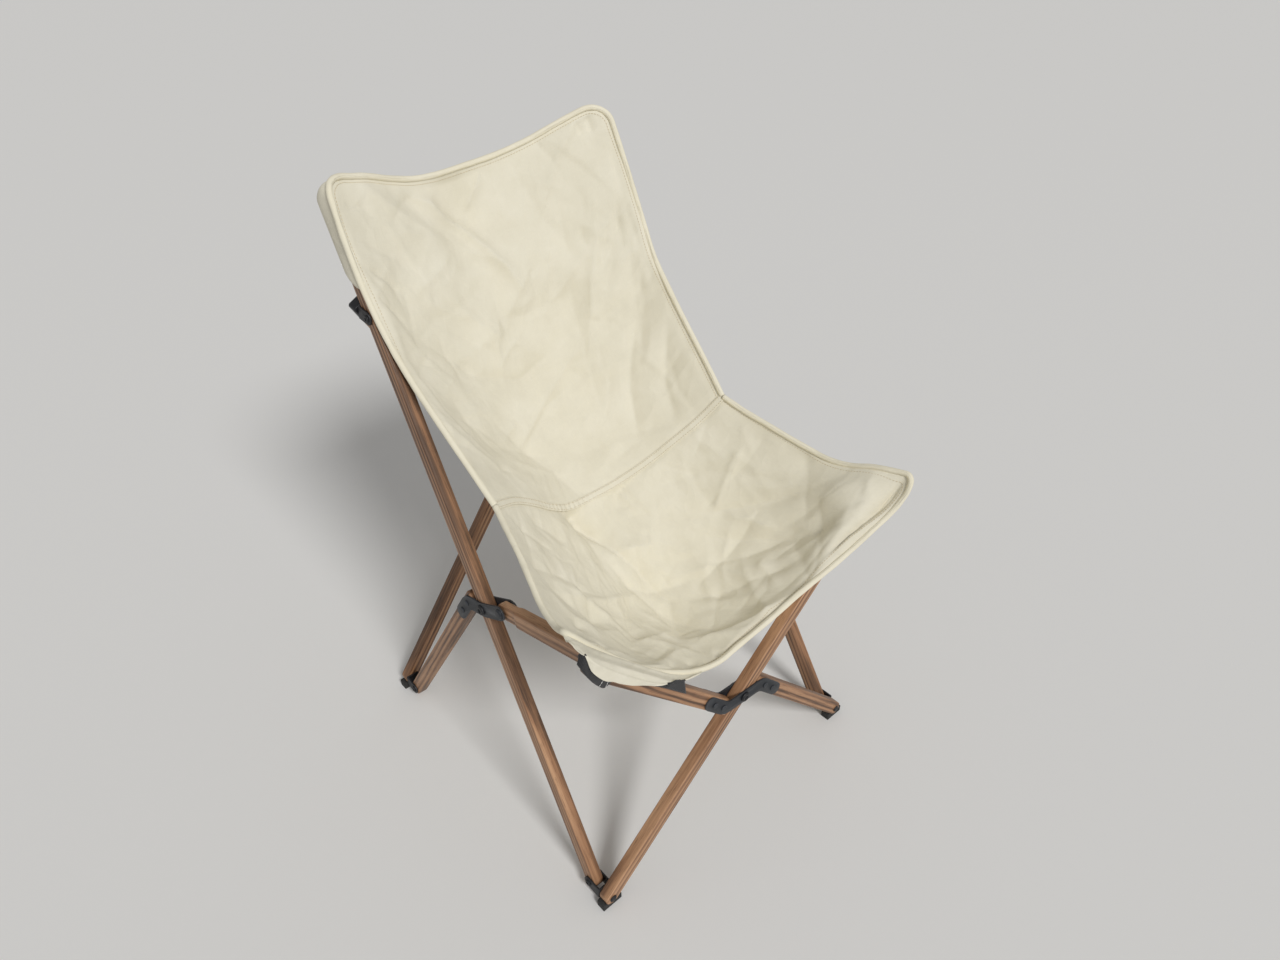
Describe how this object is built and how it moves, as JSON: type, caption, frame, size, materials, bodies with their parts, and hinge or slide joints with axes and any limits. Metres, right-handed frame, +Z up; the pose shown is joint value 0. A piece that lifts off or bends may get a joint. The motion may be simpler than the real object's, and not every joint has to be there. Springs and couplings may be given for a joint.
{
  "type": "folding sling chair",
  "caption": "Folding butterfly chair: wooden sticks on swivelling steel brackets cross into a frame, and a canvas sling hangs from the stick ends as seat and back.",
  "frame": {"origin": "on the floor below the middle of the open chair", "axes": "+Z up, -Y the way the sitter faces, +X the sitter's left"},
  "size_m": [0.5326, 0.6056, 0.8719],
  "materials": {
    "wood": "oiled walnut brown, satin",
    "steel": "charcoal powder coat, matt",
    "canvas": "cream cotton canvas, matt",
    "rubber": "black moulded rubber, matt"
  },
  "bodies": {
    "front_pivot": {"front_pivot_bolt": "steel"},
    "front_split": {"front_upper_bar": "wood", "front_lower_bar": "wood", "front_z_plate_outer": "steel", "front_z_plate_inner": "steel", "front_left_foot_pad": "rubber", "front_right_pocket": "canvas"},
    "front_pole": {"front_pole": "wood", "front_right_foot_pad": "rubber", "front_left_pocket": "canvas"},
    "rear_pole": {"rear_pole": "wood", "rear_right_foot_pad": "rubber", "back_left_bolt": "steel"},
    "rear_split": {"rear_upper_bar": "wood", "rear_lower_bar": "wood", "rear_z_plate_outer": "steel", "rear_z_plate_inner": "steel", "rear_left_foot_pad": "rubber", "back_right_bolt": "steel"},
    "right_front_foot_bracket": {"right_front_foot_bracket": "steel", "right_front_foot_pin": "steel"},
    "right_rail_bracket": {"right_rail_bracket": "steel", "right_rail_pin": "steel"},
    "right_rear_foot_bracket": {"right_rear_foot_bracket": "steel", "right_rear_foot_pin": "steel"},
    "right_back_bracket": {"right_back_bracket": "steel", "right_back_pin": "steel"},
    "right_back_pole": {"right_back_pole": "wood", "back_right_pocket": "canvas"},
    "right_side_leg": {"right_side_leg": "wood", "right_side_plate_outer": "steel", "right_side_plate_inner": "steel", "right_side_pivot_bolt": "steel"},
    "right_seat_rail": {"right_seat_rail": "wood"},
    "left_front_foot_bracket": {"left_front_foot_bracket": "steel", "left_front_foot_pin": "steel"},
    "left_rail_bracket": {"left_rail_bracket": "steel", "left_rail_pin": "steel"},
    "left_rear_foot_bracket": {"left_rear_foot_bracket": "steel", "left_rear_foot_pin": "steel"},
    "left_back_bracket": {"left_back_bracket": "steel", "left_back_pin": "steel"},
    "left_back_pole": {"left_back_pole": "wood", "back_left_pocket": "canvas"},
    "left_side_leg": {"left_side_leg": "wood", "left_side_plate_outer": "steel", "left_side_plate_inner": "steel", "left_side_pivot_bolt": "steel"},
    "left_seat_rail": {"left_seat_rail": "wood"},
    "sling_back": {"sling_back_panel": "canvas", "back_binding": "canvas", "lumbar_welt": "canvas"},
    "sling_seat": {"sling_seat_panel": "canvas", "seat_binding": "canvas"}
  },
  "joints": [
    {"name": "fold", "type": "hinge", "parent": "front_pivot", "child": "front_split", "pos_m": [0, -0.2562, 0.23827], "axis": [0, 1, 0], "range_deg": [0, 42.5]},
    {"name": "front_pole_turn", "type": "hinge", "parent": "front_pivot", "child": "front_pole", "pos_m": [0, -0.2562, 0.23827], "axis": [0, 1, 0], "range_deg": [-42.52, 0]},
    {"name": "right_front_foot_swivel", "type": "hinge", "parent": "front_pole", "child": "right_front_foot_bracket", "pos_m": [-0.2412, -0.2562, 0.017], "axis": [0, 1, 0], "range_deg": [0, 40.49]},
    {"name": "right_back_pole_pin", "type": "hinge", "parent": "right_front_foot_bracket", "child": "right_back_pole", "pos_m": [-0.2412, -0.2242, 0.017], "axis": [0.9993, 0, -0.0386], "range_deg": [0, 25.31]},
    {"name": "right_side_pivot", "type": "hinge", "parent": "right_back_pole", "child": "right_side_leg", "pos_m": [-0.22741, -0.01327, 0.37436], "axis": [0.9993, 0, -0.0386], "range_deg": [-58.48, 0]},
    {"name": "right_rear_foot_pin", "type": "hinge", "parent": "right_side_leg", "child": "right_rear_foot_bracket", "pos_m": [-0.2412, 0.244, 0.017], "axis": [0.9993, 0, -0.0386], "range_deg": [0, 27.36]},
    {"name": "right_rear_foot_swivel", "type": "hinge", "parent": "right_rear_foot_bracket", "child": "rear_pole", "pos_m": [-0.2412, 0.27589, 0.01964], "axis": [0, 0.9966, 0.0825], "range_deg": [-27.35, 0]},
    {"name": "right_rail_swivel", "type": "hinge", "parent": "front_split", "child": "right_rail_bracket", "pos_m": [-0.22471, -0.2562, 0.4444], "axis": [0, 1, 0], "range_deg": [-44.55, 0]},
    {"name": "right_rail_pin", "type": "hinge", "parent": "right_rail_bracket", "child": "right_seat_rail", "pos_m": [-0.22471, -0.2242, 0.4444], "axis": [0.9993, 0, -0.0386], "range_deg": [-69.81, 0]},
    {"name": "right_back_pin", "type": "hinge", "parent": "right_back_pole", "child": "right_back_bracket", "pos_m": [-0.21435, 0.18643, 0.7127], "axis": [0.9993, 0, -0.0386], "range_deg": [-31.15, 0]},
    {"name": "left_front_foot_swivel", "type": "hinge", "parent": "front_split", "child": "left_front_foot_bracket", "pos_m": [0.2412, -0.2562, 0.017], "axis": [0, 1, 0], "range_deg": [-40.49, 0]},
    {"name": "left_back_pole_pin", "type": "hinge", "parent": "left_front_foot_bracket", "child": "left_back_pole", "pos_m": [0.2412, -0.2242, 0.017], "axis": [-0.9993, 0, -0.0386], "range_deg": [-25.31, 0]},
    {"name": "left_side_pivot", "type": "hinge", "parent": "left_back_pole", "child": "left_side_leg", "pos_m": [0.22741, -0.01327, 0.37436], "axis": [-0.9993, 0, -0.0386], "range_deg": [0, 58.48]},
    {"name": "left_rear_foot_pin", "type": "hinge", "parent": "left_side_leg", "child": "left_rear_foot_bracket", "pos_m": [0.2412, 0.244, 0.017], "axis": [-0.9993, 0, -0.0386], "range_deg": [-27.36, 0]},
    {"name": "left_rear_foot_swivel", "type": "hinge", "parent": "left_rear_foot_bracket", "child": "rear_split", "pos_m": [0.2412, 0.27589, 0.01964], "axis": [0, 0.9966, 0.0825], "range_deg": [0, 27.35]},
    {"name": "left_rail_swivel", "type": "hinge", "parent": "front_pole", "child": "left_rail_bracket", "pos_m": [0.22471, -0.2562, 0.4444], "axis": [0, 1, 0], "range_deg": [0, 44.55]},
    {"name": "left_rail_pin", "type": "hinge", "parent": "left_rail_bracket", "child": "left_seat_rail", "pos_m": [0.22471, -0.2242, 0.4444], "axis": [-0.9993, 0, -0.0386], "range_deg": [0, 69.81]},
    {"name": "left_back_pin", "type": "hinge", "parent": "left_back_pole", "child": "left_back_bracket", "pos_m": [0.21435, 0.18643, 0.7127], "axis": [-0.9993, 0, -0.0386], "range_deg": [0, 31.15]},
    {"name": "sling_back_swing", "type": "hinge", "parent": "front_pivot", "child": "sling_back", "pos_m": [0, -0.00017, -0.03543], "axis": [1, 0, 0], "range_deg": [0, 25.33], "deforming": ["sling_back_panel", "back_binding", "lumbar_welt"]},
    {"name": "sling_seat_swing", "type": "hinge", "parent": "front_pivot", "child": "sling_seat", "pos_m": [0, -0.20657, 0.5296], "axis": [1, 0, 0], "range_deg": [-93.08, 0], "deforming": ["sling_seat_panel", "seat_binding"]}
  ],
  "couplings": [
    {"joint": "front_pole_turn", "follows": "fold", "ratio": -1},
    {"joint": "right_front_foot_swivel", "follows": "fold", "ratio": 0.95217},
    {"joint": "right_back_pole_pin", "follows": "fold", "ratio": 0.59516},
    {"joint": "right_side_pivot", "follows": "fold", "ratio": -1.3756},
    {"joint": "right_rear_foot_pin", "follows": "fold", "ratio": 0.64317},
    {"joint": "right_rear_foot_swivel", "follows": "fold", "ratio": -0.64308},
    {"joint": "right_rail_swivel", "follows": "fold", "ratio": -1.0478},
    {"joint": "right_rail_pin", "follows": "fold", "ratio": -1.6421},
    {"joint": "right_back_pin", "follows": "fold", "ratio": -0.73238},
    {"joint": "left_front_foot_swivel", "follows": "fold", "ratio": -0.95217},
    {"joint": "left_back_pole_pin", "follows": "fold", "ratio": -0.59516},
    {"joint": "left_side_pivot", "follows": "fold", "ratio": 1.3756},
    {"joint": "left_rear_foot_pin", "follows": "fold", "ratio": -0.64317},
    {"joint": "left_rear_foot_swivel", "follows": "fold", "ratio": 0.64308},
    {"joint": "left_rail_swivel", "follows": "fold", "ratio": 1.0478},
    {"joint": "left_rail_pin", "follows": "fold", "ratio": 1.6421},
    {"joint": "left_back_pin", "follows": "fold", "ratio": 0.73238},
    {"joint": "sling_back_swing", "follows": "fold", "ratio": 0.59558},
    {"joint": "sling_seat_swing", "follows": "fold", "ratio": -2.1896}
  ]
}
